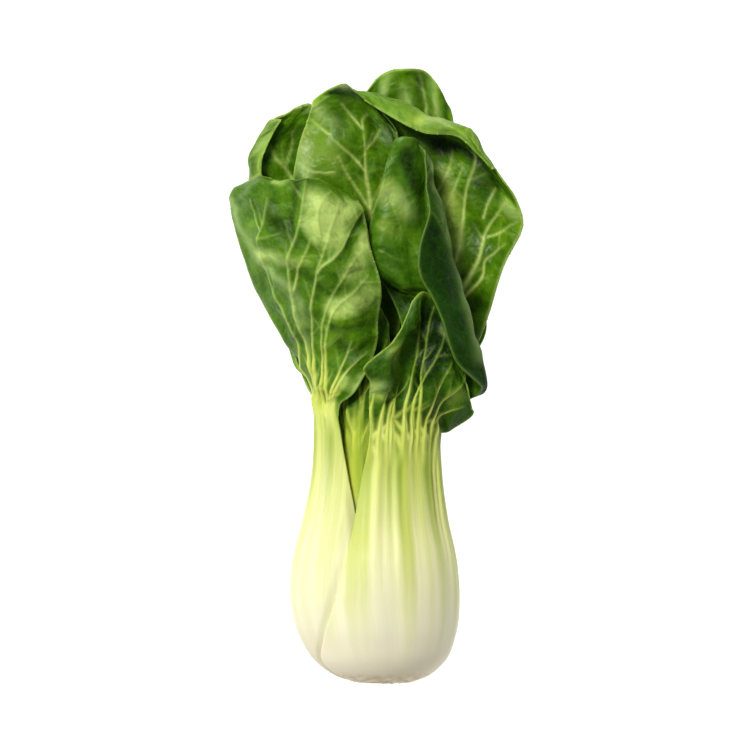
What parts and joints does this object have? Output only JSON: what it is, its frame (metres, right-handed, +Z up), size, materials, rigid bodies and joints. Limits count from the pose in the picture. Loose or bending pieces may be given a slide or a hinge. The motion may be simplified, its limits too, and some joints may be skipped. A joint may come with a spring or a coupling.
{
  "type": "head of bok choy",
  "caption": "Head of green-stalked bok choy lying on its back: a rounded pale bulb of nested ribbed stalks, a narrower neck and a loose bunch of broad, folded green leaves.",
  "frame": {"origin": "under the middle of the lying head, on the surface that it rests on", "axes": "+Y runs along the head from the cut base to the leaf tips, +Z is up from the surface, and +X is across the head, to the right when it is seen from above with the leaf tips away"},
  "size_m": [0.0949, 0.1986, 0.049],
  "materials": {
    "outer_stalk": "fresh leaf stalk, creamy white at the bulb to pale yellow-green at the neck, satin skin",
    "inner_stalk": "fresh leaf stalk, pale yellow-green, satin skin",
    "heart_stalk": "young leaf stalk, bright yellow-green, satin skin",
    "outer_blade": "leaf blade seen from its underside, mid green with raised pale veins, satin",
    "inner_blade": "leaf blade, deep green with fine pale veins, waxy sheen",
    "heart_blade": "young leaf blade, fresh green, waxy sheen",
    "cut_stem": "cut stem, off-white and dry with a faint brown edge"
  },
  "bodies": {
    "root": {"stem_base": "cut_stem", "front_right_stalk": "outer_stalk", "front_right_blade": "outer_blade", "front_left_stalk": "outer_stalk", "front_left_blade": "outer_blade", "back_left_stalk": "outer_stalk", "back_left_blade": "outer_blade", "back_right_stalk": "outer_stalk", "back_right_blade": "outer_blade", "folded_front_stalk": "inner_stalk", "folded_front_blade": "inner_blade", "right_hooded_stalk": "inner_stalk", "right_hooded_blade": "inner_blade", "top_back_stalk": "inner_stalk", "top_back_blade": "inner_blade", "left_back_stalk": "inner_stalk", "left_back_blade": "inner_blade", "centre_tall_stalk": "inner_stalk", "centre_tall_blade": "inner_blade", "heart_front_stalk": "heart_stalk", "heart_front_blade": "heart_blade", "heart_left_stalk": "heart_stalk", "heart_left_blade": "heart_blade"}
  },
  "joints": []
}
